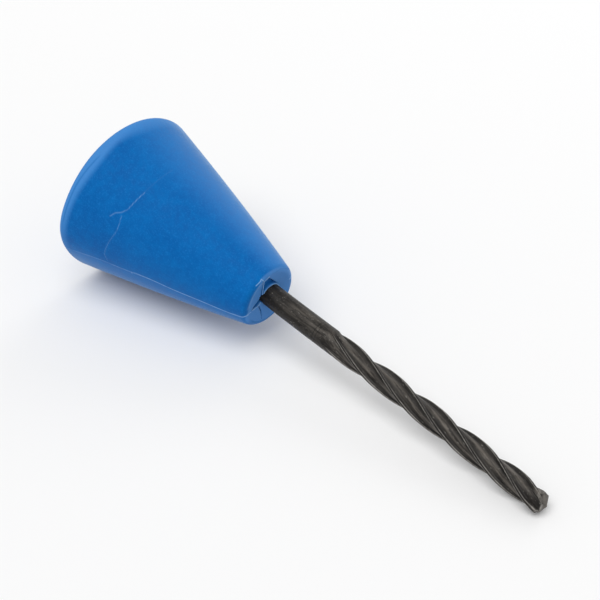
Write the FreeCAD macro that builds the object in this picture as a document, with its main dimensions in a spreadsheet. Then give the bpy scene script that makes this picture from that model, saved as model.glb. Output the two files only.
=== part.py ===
import FreeCAD, Part
import math
import os
import Sketcher

# A four-flute hand reamer: a black steel bit pushed into a blue moulded cone that is its handle.
# The tool lies as it comes to rest, on the rim of the cone's wide end and on the tip of the bit.
# Both bodies are drawn along their own Z axis and laid down by their Placement.

Vector = FreeCAD.Vector
Rotation = FreeCAD.Rotation
Placement = FreeCAD.Placement

SIZES = [
    ("cone_length", 72.1, "flat back to flat nose"),
    ("wide_radius", 29.7, "widest radius, at the rounded rim"),
    ("nose_flat_radius", 9.7, "flat ring round the mouth"),
    ("rim_fillet", 2.0, "rounding of the wide end"),
    ("nose_fillet", 2.4, "rounding of the nose"),
    ("flank_bulge", 0.6, "how far the flank swells past a straight cone"),
    ("shank_radius", 4.0, "plain shank, and the lands of the flutes"),
    ("bore_clearance", 0.02, "shank to bore wall"),
    ("seat_depth", 48.0, "bore length, mouth to its flat bottom"),
    ("bore_rise", 0.97, "bore above the axis of the cone, at the mouth"),
    ("bore_shift", 1.19, "bore to the far side of that axis, at the mouth"),
    ("lean_down", 0.64, "degrees that the bore leans down"),
    ("lean_side", 1.14, "degrees that the bore leans to the near side"),
    ("bit_length", 167.3, "shank end to the point"),
    ("point_angle", 118.0, "degrees included by the point"),
    ("flute_count", 4, "helical flutes"),
    ("flute_length", 92.0, "point back to the start of the run-out"),
    ("flute_pitch", 71.9, "advance of the right-hand helix in one turn"),
    ("flute_phase", 44.5, "degrees from straight up to a land, at the mouth"),
    ("land_width", 0.63, "each land, round the circumference"),
    ("core_radius", 2.7, "left at the floor of the flutes"),
    ("wall_slope", 16.0, "degrees that a flute wall leans off the radius"),
    ("wall_fillet", 0.55, "rounding between wall and floor"),
    ("cutter_radius", 33.0, "wheel that ground the flutes, seen at the run-out"),
    ("cutter_dip", 0.05, "how far the run-out dips under the flute floor"),
    ("gap_radius", 4.75, "torn mouth of the bore"),
    ("gap_shift", 0.95, "torn mouth off the bore, to the near side"),
    ("gap_depth", 3.5, "depth of the torn mouth"),
    ("chip_reach", 9.2, "broken-out piece above the shank, outer edge"),
    ("chip_low_reach", 6.1, "its far corner, from the middle of the nose"),
    ("chip_near_angle", 20.0, "degrees from straight up to its near edge"),
    ("chip_top_angle", 3.0, "degrees to its outermost corner"),
    ("chip_far_angle", -41.0, "degrees to its far corner"),
    ("chip_depth", 1.6, "how deep it broke out"),
    ("tear_place", 3.4, "tear beside that piece, off the middle"),
    ("tear_reach", 8.8, "upper end of the tear"),
    ("tear_width", 0.5, "opening of the tear at the mouth"),
    ("tear_depth", 2.6, "depth of the tear"),
    ("slit_reach", 8.1, "outer end of the lens-shaped slit"),
    ("slit_angle", 102.0, "degrees from straight up to that end"),
    ("slit_width", 1.5, "widest opening of the slit"),
    ("slit_depth", 2.2, "depth of the slit"),
    ("crack_reach", 8.6, "lower end of the crack"),
    ("crack_angle", 160.0, "degrees from straight up to that end"),
    ("crack_width", 0.4, "opening of the crack at the mouth"),
    ("crack_depth", 1.5, "depth of the crack"),
    ("rim_press", 0.1, "how far the soft rim is pressed flat where the tool rests on it"),
]
OVERRUN = 1.0

doc = FreeCAD.newDocument("hand_reamer")
sheet = doc.addObject("Spreadsheet::Sheet", "Sizes")
for line, (alias, number, note) in enumerate(SIZES, start=1):
    sheet.set("A%d" % line, alias)
    sheet.set("B%d" % line, str(number))
    sheet.set("C%d" % line, note)
    sheet.setAlias("B%d" % line, alias)
doc.recompute()


def size(alias):
    return float(sheet.get(alias))


def origin_plane(body, role):
    return next(item for item in body.Origin.OriginFeatures if item.Role == role)


def add_sketch(body, name, role="XY_Plane"):
    sketch = body.newObject("Sketcher::SketchObject", name)
    sketch.AttachmentSupport = (origin_plane(body, role), [""])
    sketch.MapMode = "FlatFace"
    return sketch


def polar(radius, degrees):
    angle = math.radians(degrees)
    return Vector(radius * math.cos(angle), radius * math.sin(angle), 0)


def add_outline(sketch, corners):
    """Straight closed outline through the corners."""
    for start, end in zip(corners, corners[1:] + corners[:1]):
        sketch.addGeometry(Part.LineSegment(start, end), False)


def bind(sketch, constraint, formula):
    """A driving dimension of the sketch, named and tied to the sheet."""
    index = sketch.addConstraint(constraint)
    name = "driving_%d" % index
    sketch.renameConstraint(index, name)
    sketch.setExpression("Constraints." + name, formula)


def revolve_about_z(body, sketch, name, kind):
    feature = body.newObject(kind, name)
    feature.Profile = sketch
    feature.ReferenceAxis = (sketch, ["V_Axis"])
    feature.Angle = 360
    doc.recompute()
    return feature


def cut_pocket(body, sketch, name, formula):
    """Pocket that removes material below its sketch; a pocket that removes none is an error."""
    doc.recompute()
    before = body.Shape.Volume
    pocket = body.newObject("PartDesign::Pocket", name)
    pocket.Profile = sketch
    pocket.Type = "Length"
    pocket.setExpression("Length", formula)
    doc.recompute()
    if not pocket.Shape.Volume < before:
        raise RuntimeError(name + " removes nothing")
    return pocket


# The cone: one moulding, flat back, rounded rim, slightly swollen flank, rounded nose
handle = doc.addObject("PartDesign::Body", "cone_handle")
handle.Label = "cone_handle"

profile = add_sketch(handle, "ConeProfile", "XZ_Plane")
radius_loss = size("wide_radius") - size("nose_flat_radius") - size("nose_fillet")
flank_slope = math.atan2(radius_loss, size("cone_length"))
rim_centre = Vector(size("wide_radius") - size("rim_fillet"), size("rim_fillet"), 0)
nose_centre = Vector(size("nose_flat_radius"), size("cone_length") - size("nose_fillet"), 0)
outward = Vector(math.cos(flank_slope), math.sin(flank_slope), 0)
rim_end = rim_centre + outward * size("rim_fillet")
nose_start = nose_centre + outward * size("nose_fillet")
flank_chord = (nose_start - rim_end).Length
flank_radius = flank_chord ** 2 / (8 * size("flank_bulge"))
flank_middle = (rim_end + nose_start) * 0.5 + outward * size("flank_bulge")
back_corner = Vector(rim_centre.x, 0, 0)
nose_corner = Vector(nose_centre.x, size("cone_length"), 0)
nose_middle = nose_centre + polar(size("nose_fillet"), 45 + math.degrees(flank_slope) / 2)
axis_top = Vector(0, size("cone_length"), 0)

profile.addGeometry(Part.LineSegment(Vector(0, 0, 0), back_corner), False)
profile.addGeometry(Part.Arc(back_corner, rim_centre + polar(size("rim_fillet"), -40), rim_end), False)
profile.addGeometry(Part.Arc(rim_end, flank_middle, nose_start), False)
profile.addGeometry(Part.Arc(nose_start, nose_middle, nose_corner), False)
profile.addGeometry(Part.LineSegment(nose_corner, axis_top), False)
profile.addGeometry(Part.LineSegment(axis_top, Vector(0, 0, 0)), False)
BACK, RIM, FLANK, NOSE, RING, AXIS = range(6)
START, END, CENTRE = 1, 2, 3
ROOT = -1
profile.addConstraint([
    Sketcher.Constraint("Coincident", BACK, START, ROOT, START),
    Sketcher.Constraint("Horizontal", BACK),
    Sketcher.Constraint("Tangent", BACK, END, RIM, START),
    Sketcher.Constraint("Tangent", RIM, END, FLANK, START),
    Sketcher.Constraint("Tangent", FLANK, END, NOSE, START),
    Sketcher.Constraint("Tangent", NOSE, END, RING, START),
    Sketcher.Constraint("Horizontal", RING),
    Sketcher.Constraint("Coincident", RING, END, AXIS, START),
    Sketcher.Constraint("Vertical", AXIS),
    Sketcher.Constraint("Coincident", AXIS, END, ROOT, START),
])
bind(profile, Sketcher.Constraint("DistanceY", AXIS, END, AXIS, START, size("cone_length")),
     "Sizes.cone_length")
bind(profile, Sketcher.Constraint("Radius", RIM, size("rim_fillet")), "Sizes.rim_fillet")
bind(profile, Sketcher.Constraint("Radius", NOSE, size("nose_fillet")), "Sizes.nose_fillet")
bind(profile, Sketcher.Constraint("DistanceX", RING, END, RING, START, size("nose_flat_radius")),
     "Sizes.nose_flat_radius")
bind(profile, Sketcher.Constraint("DistanceX", ROOT, START, RIM, CENTRE, rim_centre.x),
     "Sizes.wide_radius - Sizes.rim_fillet")
bind(profile, Sketcher.Constraint("Radius", FLANK, flank_radius),
     "(Sizes.cone_length ^ 2 + (Sizes.wide_radius - Sizes.nose_flat_radius) ^ 2) / (8 * Sizes.flank_bulge)")
revolve_about_z(handle, profile, "ConeSolid", "PartDesign::Revolution")


def nose_sketch(name):
    """Sketch on the flat nose: X points up as the tool lies, Y to the near side."""
    sketch = add_sketch(handle, name)
    sketch.setExpression("AttachmentOffset.Base.z", "Sizes.cone_length")
    return sketch


def lens(sketch, start, end, opening):
    """Closed outline of two arcs that meet at both ends."""
    across = Vector(start.y - end.y, end.x - start.x, 0).normalize() * (opening / 2)
    middle = (start + end) * 0.5
    sketch.addGeometry(Part.Arc(start, middle + across, end), False)
    sketch.addGeometry(Part.Arc(end, middle - across, start), False)


def wedge(sketch, start, end, opening):
    """Closed outline of a crack that narrows from its opening to a point."""
    across = Vector(start.y - end.y, end.x - start.x, 0).normalize() * (opening / 2)
    add_outline(sketch, [start + across, start - across, end])


# The bore: it leans a little and leaves the nose off centre, and it ends in a flat bottom
lean = Rotation(Vector(0, 1, 0), -size("lean_down")) * Rotation(Vector(1, 0, 0), -size("lean_side"))
bore_mouth = Vector(size("bore_rise"), -size("bore_shift"), size("cone_length"))
bore_axis = lean.multVec(Vector(0, 0, 1))

bore = add_sketch(handle, "BoreSection")
bore.AttachmentOffset = Placement(bore_mouth + bore_axis * OVERRUN, lean)
bore.addGeometry(Part.Circle(Vector(0, 0, 0), Vector(0, 0, 1), size("shank_radius")), False)
bore.addConstraint(Sketcher.Constraint("Coincident", 0, CENTRE, ROOT, START))
bind(bore, Sketcher.Constraint("Radius", 0, size("shank_radius")), "Sizes.shank_radius + Sizes.bore_clearance")
cut_pocket(handle, bore, "Bore", "Sizes.seat_depth + %g" % OVERRUN)

# The mouth is torn: a wider rim on the near side, a piece broken out, a tear, a slit and a crack
bore_centre = Vector(bore_mouth.x, bore_mouth.y, 0)
gap_centre = bore_centre + Vector(0, size("gap_shift"), 0)
gap = nose_sketch("GapSection")
gap.addGeometry(Part.Circle(gap_centre, Vector(0, 0, 1), size("gap_radius")), False)
bind(gap, Sketcher.Constraint("Radius", 0, size("gap_radius")), "Sizes.gap_radius")
cut_pocket(handle, gap, "TornMouth", "Sizes.gap_depth")

tear_root = Vector(bore_centre.x, size("tear_place"), 0)
chip = nose_sketch("ChipSection")
add_outline(chip, [
    bore_centre,
    tear_root,
    polar(size("chip_reach"), size("chip_near_angle")),
    polar(size("chip_reach"), size("chip_top_angle")),
    polar(size("chip_low_reach"), size("chip_far_angle")),
])
cut_pocket(handle, chip, "Chip", "Sizes.chip_depth")

tear = nose_sketch("TearSection")
wedge(tear, tear_root, Vector(size("tear_reach"), size("tear_place"), 0), size("tear_width"))
cut_pocket(handle, tear, "Tear", "Sizes.tear_depth")

slit = nose_sketch("SlitSection")
lens(slit, gap_centre + Vector(0, size("shank_radius"), 0), polar(size("slit_reach"), size("slit_angle")),
     size("slit_width"))
cut_pocket(handle, slit, "Slit", "Sizes.slit_depth")

crack = nose_sketch("CrackSection")
wedge(crack, gap_centre + polar(size("shank_radius"), size("slit_angle")),
      polar(size("crack_reach"), size("crack_angle")), size("crack_width"))
cut_pocket(handle, crack, "Crack", "Sizes.crack_depth")

# The bit: a round blank with a ground point, then the flutes, then the run-out left behind them
bit = doc.addObject("PartDesign::Body", "fluted_bit")
bit.Label = "fluted_bit"

point_height = size("shank_radius") / math.tan(math.radians(size("point_angle") / 2))
blank = add_sketch(bit, "BlankProfile", "XZ_Plane")
add_outline(blank, [
    Vector(0, 0, 0),
    Vector(size("shank_radius"), 0, 0),
    Vector(size("shank_radius"), size("bit_length") - point_height, 0),
    Vector(0, size("bit_length"), 0),
])
FOOT, SIDE, CONE, BIT_AXIS = range(4)
blank.addConstraint([
    Sketcher.Constraint("Coincident", FOOT, START, ROOT, START),
    Sketcher.Constraint("Coincident", FOOT, END, SIDE, START),
    Sketcher.Constraint("Coincident", SIDE, END, CONE, START),
    Sketcher.Constraint("Coincident", CONE, END, BIT_AXIS, START),
    Sketcher.Constraint("Coincident", BIT_AXIS, END, ROOT, START),
    Sketcher.Constraint("Horizontal", FOOT),
    Sketcher.Constraint("Vertical", SIDE),
    Sketcher.Constraint("Vertical", BIT_AXIS),
])
bind(blank, Sketcher.Constraint("DistanceX", FOOT, START, FOOT, END, size("shank_radius")),
     "Sizes.shank_radius")
bind(blank, Sketcher.Constraint("DistanceY", BIT_AXIS, END, BIT_AXIS, START, size("bit_length")),
     "Sizes.bit_length")
bind(blank, Sketcher.Constraint("DistanceY", SIDE, END, CONE, END, point_height),
     "Sizes.shank_radius / tan(Sizes.point_angle / 2 * 1 deg)")
revolve_about_z(bit, blank, "Blank", "PartDesign::Revolution")


def flute_outline(sketch):
    """One flute across the bit, open side on +X: walls that lean, a round floor, a fillet between."""
    land_radius = size("shank_radius")
    half_opening = 180 / size("flute_count") - math.degrees(size("land_width") / 2 / land_radius)
    fillet = size("wall_fillet")
    floor = size("core_radius")
    edge = polar(land_radius, half_opening)
    inward = polar(1, half_opening + 180 + size("wall_slope"))
    into_flute = Vector(inward.y, -inward.x, 0) * -1
    offset_edge = edge + into_flute * fillet
    along = offset_edge.dot(inward)
    reach = math.sqrt(along ** 2 - offset_edge.dot(offset_edge) + (floor + fillet) ** 2)
    run = -along - reach
    wall_foot = edge + inward * run
    fillet_centre = offset_edge + inward * run
    floor_end = fillet_centre * (floor / (floor + fillet))
    fillet_middle = fillet_centre + (wall_foot + floor_end - fillet_centre * 2).normalize() * fillet
    outer = polar(land_radius + OVERRUN, half_opening)

    def mirrored(point):
        return Vector(point.x, -point.y, 0)

    sketch.addGeometry([
        Part.Arc(mirrored(outer), Vector(land_radius + OVERRUN, 0, 0), outer),
        Part.LineSegment(outer, edge),
        Part.LineSegment(edge, wall_foot),
        Part.Arc(wall_foot, fillet_middle, floor_end),
        Part.Arc(floor_end, Vector(floor, 0, 0), mirrored(floor_end)),
        Part.Arc(mirrored(floor_end), mirrored(fillet_middle), mirrored(wall_foot)),
        Part.LineSegment(mirrored(wall_foot), mirrored(edge)),
        Part.LineSegment(mirrored(edge), mirrored(outer)),
    ], False)


flute_start = size("bit_length") - size("flute_length")
turned = size("flute_phase") + 360 * (flute_start - size("seat_depth")) / size("flute_pitch")
flute = add_sketch(bit, "FluteSection")
flute.AttachmentOffset = Placement(Vector(0, 0, flute_start),
                                   Rotation(Vector(0, 0, 1), turned + 180 / size("flute_count")))
flute_outline(flute)

spine = add_sketch(bit, "FluteSpine", "XZ_Plane")
spine.addGeometry(Part.LineSegment(Vector(0, flute_start, 0), Vector(0, size("bit_length") + OVERRUN, 0)), False)

helix = doc.addObject("Part::Helix", "FluteHelix")
helix.Placement = Placement(Vector(0, 0, flute_start), Rotation())
helix.setExpression("Pitch", "Sizes.flute_pitch")
helix.setExpression("Height", "Sizes.flute_length + %g" % OVERRUN)
helix.setExpression("Radius", "Sizes.shank_radius")
doc.recompute()

blank_volume = bit.Shape.Volume
groove = bit.newObject("PartDesign::SubtractivePipe", "Flute")
groove.Profile = flute
groove.Spine = (spine, ["Edge1"])
groove.AuxiliarySpine = (helix, ["Edge1"])
groove.Mode = "Auxiliary"
groove.AuxiliaryCurvilinear = True
doc.recompute()
flute_volume = blank_volume - bit.Shape.Volume

flutes = bit.newObject("PartDesign::PolarPattern", "Flutes")
flutes.Originals = [groove]
flutes.Axis = (flute, ["N_Axis"])
flutes.Angle = 360
flutes.setExpression("Occurrences", "Sizes.flute_count")
bit.Tip = flutes
doc.recompute()
flutes_volume = blank_volume - bit.Shape.Volume
if not flute_volume > 0 or abs(flutes_volume / flute_volume - size("flute_count")) > 0.01:
    raise RuntimeError("the flutes are not all cut")

wheel = size("cutter_radius")
dip_radius = size("core_radius") - size("cutter_dip")
wheel_centre = dip_radius + wheel
run_out = math.sqrt(wheel ** 2 - (wheel_centre - size("shank_radius")) ** 2)
middle_height = run_out / 2
run_out_middle = wheel_centre - math.sqrt(wheel ** 2 - middle_height ** 2)
tail = add_sketch(bit, "RunOutProfile", "XZ_Plane")
low_left = Vector(0, flute_start - OVERRUN, 0)
low_right = Vector(size("shank_radius"), flute_start - OVERRUN, 0)
wheel_in = Vector(size("shank_radius"), flute_start, 0)
wheel_middle = Vector(run_out_middle, flute_start + run_out - middle_height, 0)
wheel_out = Vector(dip_radius, flute_start + run_out, 0)
top_left = Vector(0, flute_start + run_out, 0)
tail.addGeometry([
    Part.LineSegment(low_left, low_right),
    Part.LineSegment(low_right, wheel_in),
    Part.Arc(wheel_in, wheel_middle, wheel_out),
    Part.LineSegment(wheel_out, top_left),
    Part.LineSegment(top_left, low_left),
], False)
revolve_about_z(bit, tail, "RunOut", "PartDesign::Revolution")

# At rest: the bit points along +X and slopes down until its tip and the cone's rim share the floor
bit_in_handle = Placement(bore_mouth - bore_axis * size("seat_depth"), lean)


def poses(slope):
    """World placements of handle and bit for a bit that slopes down by this angle, in radians."""
    down_along = Vector(math.cos(slope), 0, -math.sin(slope))
    up_across = Vector(math.sin(slope), 0, math.cos(slope))
    bit_pose = Placement(Vector(0, 0, 0), Rotation(up_across, Vector(0, -1, 0), down_along, "ZXY"))
    return bit_pose.multiply(bit_in_handle.inverse()), bit_pose


def posed_box(body, pose):
    shape = body.Shape.copy()
    shape.Placement = pose
    return shape.optimalBoundingBox(False, False)


def rim_above_floor(slope):
    """Height of the rim over the tip's floor; at rest it is pressed that little bit below."""
    handle_pose, bit_pose = poses(slope)
    return posed_box(handle, handle_pose).ZMin + size("rim_press") - posed_box(bit, bit_pose).ZMin


CLOSE_ENOUGH = 1e-4
last_slope = math.radians(12)
slope = math.radians(3)
last_gap = rim_above_floor(last_slope)
gap_now = rim_above_floor(slope)
while abs(gap_now) > CLOSE_ENOUGH:
    step = gap_now * (slope - last_slope) / (gap_now - last_gap)
    last_slope, last_gap = slope, gap_now
    slope = slope - step
    gap_now = rim_above_floor(slope)
handle_pose, bit_pose = poses(slope)
floor_height = posed_box(bit, bit_pose).ZMin

# The soft rim is pressed flat where it rests, a small spot that keeps the tool from rolling
under_back = Placement(Vector(handle_pose.Base.x, handle_pose.Base.y, floor_height), Rotation())
half_side = size("wide_radius")
spot = add_sketch(handle, "FloorSpot")
spot.AttachmentOffset = handle_pose.inverse().multiply(under_back)
add_outline(spot, [
    Vector(-half_side, -half_side, 0),
    Vector(half_side, -half_side, 0),
    Vector(half_side, half_side, 0),
    Vector(-half_side, half_side, 0),
])
cut_pocket(handle, spot, "PressedRim", "Sizes.rim_press + %g" % OVERRUN)

box = posed_box(handle, handle_pose).united(posed_box(bit, bit_pose))
to_origin = Placement(Vector(-box.Center.x, -box.Center.y, -floor_height), Rotation())
handle.Placement = to_origin.multiply(handle_pose)
bit.Placement = to_origin.multiply(bit_pose)
doc.recompute()
print("slope of the bit: %.3f degrees, run-out %.2f mm" % (math.degrees(slope), run_out))

# Checks, then one file for each body
for item in doc.Objects:
    if "Invalid" in item.State or "Error" in item.State:
        raise RuntimeError(item.Name + " did not recompute")
os.makedirs("parts", exist_ok=True)
for body in (handle, bit):
    shape = body.Shape
    if shape.isNull() or not shape.isValid() or len(shape.Solids) != 1:
        raise RuntimeError(body.Label + " is not one valid solid")
    shape.exportStep("parts/" + body.Label + ".step")
    print(body.Label, "volume %.1f mm3" % shape.Volume)
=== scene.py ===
import math
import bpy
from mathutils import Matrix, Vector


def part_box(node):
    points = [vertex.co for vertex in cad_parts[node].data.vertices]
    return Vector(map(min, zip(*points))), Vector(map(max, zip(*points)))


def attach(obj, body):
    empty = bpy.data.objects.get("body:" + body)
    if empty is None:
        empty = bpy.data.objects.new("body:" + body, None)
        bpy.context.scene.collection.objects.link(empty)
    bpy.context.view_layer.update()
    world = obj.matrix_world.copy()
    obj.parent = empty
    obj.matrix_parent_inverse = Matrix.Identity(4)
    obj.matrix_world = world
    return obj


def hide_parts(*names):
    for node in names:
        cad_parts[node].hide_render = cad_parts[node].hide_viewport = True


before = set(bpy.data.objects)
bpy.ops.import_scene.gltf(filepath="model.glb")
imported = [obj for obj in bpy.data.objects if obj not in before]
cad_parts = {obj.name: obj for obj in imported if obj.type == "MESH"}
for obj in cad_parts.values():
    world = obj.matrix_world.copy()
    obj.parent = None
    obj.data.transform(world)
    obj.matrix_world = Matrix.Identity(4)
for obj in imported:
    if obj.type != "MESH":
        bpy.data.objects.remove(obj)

from types import SimpleNamespace

import bpy
import numpy as np
from mathutils import Matrix, Vector

bl_info = {
    "name": "Cone-Handled Hand Reamer",
    "version": (1, 0, 0),
    "blender": (4, 5, 0),
    "location": "3D View > Sidebar > Reamer",
    "description": "Dresses the hand reamer: moulded blue cone, fluted black bit and a pale studio",
    "category": "Object",
}

MM = 0.001


# Sizes and colours that a user would change

class ConeSettings(bpy.types.PropertyGroup):
    length: bpy.props.FloatProperty(
        name="Length", description="Flat back to flat nose", default=0.0721, unit="LENGTH")
    wide_radius: bpy.props.FloatProperty(
        name="Wide Radius", description="Widest radius, at the rounded rim", default=0.0297,
        unit="LENGTH")
    nose_radius: bpy.props.FloatProperty(
        name="Nose Radius", description="Flat ring round the mouth", default=0.0097, unit="LENGTH")
    rim_rounding: bpy.props.FloatProperty(
        name="Rim Rounding", description="Rounding of the wide end", default=0.002, unit="LENGTH")
    nose_rounding: bpy.props.FloatProperty(
        name="Nose Rounding", description="Rounding of the nose", default=0.0024, unit="LENGTH")
    bulge: bpy.props.FloatProperty(
        name="Flank Bulge", description="How far the flank swells past a straight cone",
        default=0.0006, unit="LENGTH")
    blue: bpy.props.FloatVectorProperty(
        name="Blue", description="Clean rubber", default=(0.0, 0.1, 0.365), subtype="COLOR",
        size=3, min=0.0, max=1.0)
    dusty_blue: bpy.props.FloatVectorProperty(
        name="Dusty Blue", description="Rubber with handling dust on it",
        default=(0.001, 0.14, 0.45), subtype="COLOR", size=3, min=0.0, max=1.0)
    # this pale blue also carries a painted highlight on the torn edges
    torn_and_highlight_blue: bpy.props.FloatVectorProperty(
        name="Torn Blue", description="Stretched and torn edges", default=(0.3, 0.52, 0.8),
        subtype="COLOR", size=3, min=0.0, max=1.0)


class BitSettings(bpy.types.PropertyGroup):
    length: bpy.props.FloatProperty(
        name="Length", description="Shank end to the point", default=0.1673, unit="LENGTH")
    radius: bpy.props.FloatProperty(
        name="Radius", description="Plain shank, and the lands of the flutes", default=0.004,
        unit="LENGTH")
    core_radius: bpy.props.FloatProperty(
        name="Core Radius", description="Left at the floor of the flutes", default=0.0027,
        unit="LENGTH")
    flute_pitch: bpy.props.FloatProperty(
        name="Flute Pitch", description="Advance of the helix in one turn", default=0.0719,
        unit="LENGTH")
    flute_phase: bpy.props.FloatProperty(
        name="Flute Phase", description="From straight up to a land, at the mouth of the cone",
        default=math.radians(44.5), subtype="ANGLE")
    land_width: bpy.props.FloatProperty(
        name="Land Width", description="Each land, round the circumference", default=0.00063,
        unit="LENGTH")
    oxide: bpy.props.FloatVectorProperty(
        name="Black Oxide", description="Finish of the steel", default=(0.011, 0.0098, 0.009),
        subtype="COLOR", size=3, min=0.0, max=1.0)
    # the bare steel also gives the painted glint along the edges of the lands
    bare_steel: bpy.props.FloatVectorProperty(
        name="Bare Steel", description="Edges where the finish has worn off",
        default=(0.38, 0.36, 0.33), subtype="COLOR", size=3, min=0.0, max=1.0)


class StudioSettings(bpy.types.PropertyGroup):
    lens: bpy.props.FloatProperty(
        name="Lens", description="Focal length of the camera in millimetres", default=99.0,
        unit="CAMERA")
    floor_tone: bpy.props.FloatVectorProperty(
        name="Floor", description="Paint of the floor", default=(0.87, 0.87, 0.87),
        subtype="COLOR", size=3, min=0.0, max=1.0)


# Where the two parts lie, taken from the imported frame. Lengths are in millimetres from here on,
# except where a comment says metres.

# how far the shank goes into the cone
SEAT_DEPTH = 48.0
# from the cone's axis to the bore's at the nose: up, and away from the near side
BORE_RISE = 0.97
BORE_SHIFT = 1.19
# how the bore leans against the cone's axis
LEAN_DOWN = math.radians(0.64)
LEAN_SIDE = math.radians(1.14)


def bore_lean():
    """Rotation from the cone's axis to the bore's: aside about X, then down about Y."""
    return np.array(Matrix.Rotation(-LEAN_DOWN, 3, "Y") @ Matrix.Rotation(-LEAN_SIDE, 3, "X"))


def bit_pose(length, radius):
    """Rotation and origin of the bit.

    A rod of this length and radius that slopes down by b along +X spans
    length * cos b + radius * sin b in X, so b follows from the width of its box:
    b = atan(radius / length) + acos(width / hypot(length, radius)).
    """
    low, high = (np.array(corner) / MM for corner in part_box("fluted_bit"))
    reach = math.hypot(length, radius)
    slope = math.atan2(radius, length) + math.acos(min(1.0, (high[0] - low[0]) / reach))
    across = np.array([math.sin(slope), 0.0, math.cos(slope)])
    along = np.array([math.cos(slope), 0.0, -math.sin(slope)])
    rotation = np.column_stack([across, [0.0, -1.0, 0.0], along])
    origin = np.array([low[0] + radius * math.sin(slope), (low[1] + high[1]) / 2,
                       high[2] - radius * math.cos(slope)])
    return rotation, origin


def cone_pose(cone_length, rotation, origin):
    """Rotation and origin of the cone, from those of the bit that leans in its bore."""
    turned = rotation @ bore_lean().T
    mouth = origin + rotation[:, 2] * SEAT_DEPTH
    return turned, mouth - turned @ np.array([BORE_RISE, -BORE_SHIFT, cone_length])


# Curves and fields on whole arrays

def arc(centre, radius, start, end, count):
    """Points at centre + radius * (cos a, sin a), for angles a evenly from start to end."""
    angle = np.linspace(start, end, count)
    return np.column_stack([centre[0] + radius * np.cos(angle),
                            centre[1] + radius * np.sin(angle)])


def rows_through(stops, counts):
    """Values from the first stop to the last, with so many even steps from each to the next."""
    runs = [np.linspace(low, high, count + 1)[1:]
            for low, high, count in zip(stops[:-1], stops[1:], counts)]
    return np.concatenate([stops[:1], *runs])


def step(value):
    """Smooth step: 0 up to 0, 3 v^2 - 2 v^3 between, 1 from 1 on."""
    value = np.clip(value, 0.0, 1.0)
    return value * value * (3.0 - 2.0 * value)


def between(value, start, rise, end, fall):
    """Smooth step up over the width rise from start on, times one down over fall before end."""
    return step((value - start) / rise) * step((end - value) / fall)


def bell(distance, width):
    """exp(-(distance / width)^2): 1 at distance 0, and soon 0 past the width."""
    return np.exp(-(distance / width) ** 2)


def wrapped(degrees):
    """The same direction in degrees, between -180 and 180."""
    return (degrees + 180.0) % 360.0 - 180.0


def ripple(u, v, coarse):
    """Repeatable roughness from about -1 to 1: a few sines of u and v that share no period."""
    return (np.sin(u * 2.1 * coarse + 1.3 * np.sin(v * 1.7 * coarse))
            + np.sin(v * 3.3 * coarse + 0.9 * np.sin(u * 2.9 * coarse + 1.0))
            + np.sin((u + v) * 5.9 * coarse + 2.0)) / 3.0


def distance_to_path(u, v, path):
    """Distance from the points (u, v) to a bent line: the least of those to its straight runs."""
    least = np.full(u.shape, np.inf)
    for (u0, v0), (u1, v1) in zip(path[:-1], path[1:]):
        du, dv = u1 - u0, v1 - v0
        along = np.clip(((u - u0) * du + (v - v0) * dv) / (du * du + dv * dv), 0.0, 1.0)
        least = np.minimum(least, np.hypot(u - u0 - along * du, v - v0 - along * dv))
    return least


def polygon_edge(u, v, corners):
    """Signed distance to a convex outline, below zero inside: the largest past any side."""
    corners = np.array(corners)
    following = np.roll(corners, -1, axis=0)
    turn = np.sign(np.sum(corners[:, 0] * following[:, 1] - corners[:, 1] * following[:, 0]))
    furthest = np.full(u.shape, -np.inf)
    for (u0, v0), (u1, v1) in zip(corners, following):
        length = math.hypot(u1 - u0, v1 - v0)
        past = turn * ((u - u0) * (v1 - v0) - (v - v0) * (u1 - u0)) / length
        furthest = np.maximum(furthest, past)
    return furthest


def slot_edge(u, v, start, end, openings):
    """Signed distance to a narrow cut from start to end.

    It is |across| - opening / 2, where the opening goes evenly from its first value to its second
    along the cut, and the distance past the nearer end where that is larger.
    """
    du, dv = end[0] - start[0], end[1] - start[1]
    length = math.hypot(du, dv)
    share = ((u - start[0]) * du + (v - start[1]) * dv) / length ** 2
    across = np.abs((u - start[0]) * dv - (v - start[1]) * du) / length
    past_ends = np.maximum(-share, share - 1.0) * length
    opening = openings[0] + (openings[1] - openings[0]) * np.clip(share, 0.0, 1.0)
    return np.maximum(across - opening / 2, past_ends)


# Meshes

def tube_faces(rows, columns):
    """Quads of a grid that closes round its columns, and the two fans that close its ends.

    The points are the rows one after another, then the first pole, then the last pole.
    """
    row, column = np.meshgrid(np.arange(rows - 1), np.arange(columns), indexing="ij")
    following = (column + 1) % columns
    quads = np.stack([row * columns + column, row * columns + following,
                      (row + 1) * columns + following, (row + 1) * columns + column], axis=-1)
    column = np.arange(columns)
    following = (column + 1) % columns
    first_pole = np.full(columns, rows * columns)
    last_pole = first_pole + 1
    last_row = (rows - 1) * columns
    fans = np.concatenate([np.column_stack([following, column, first_pole]),
                           np.column_stack([last_row + column, last_row + following, last_pole])])
    return quads.reshape(-1, 4), fans


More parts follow.
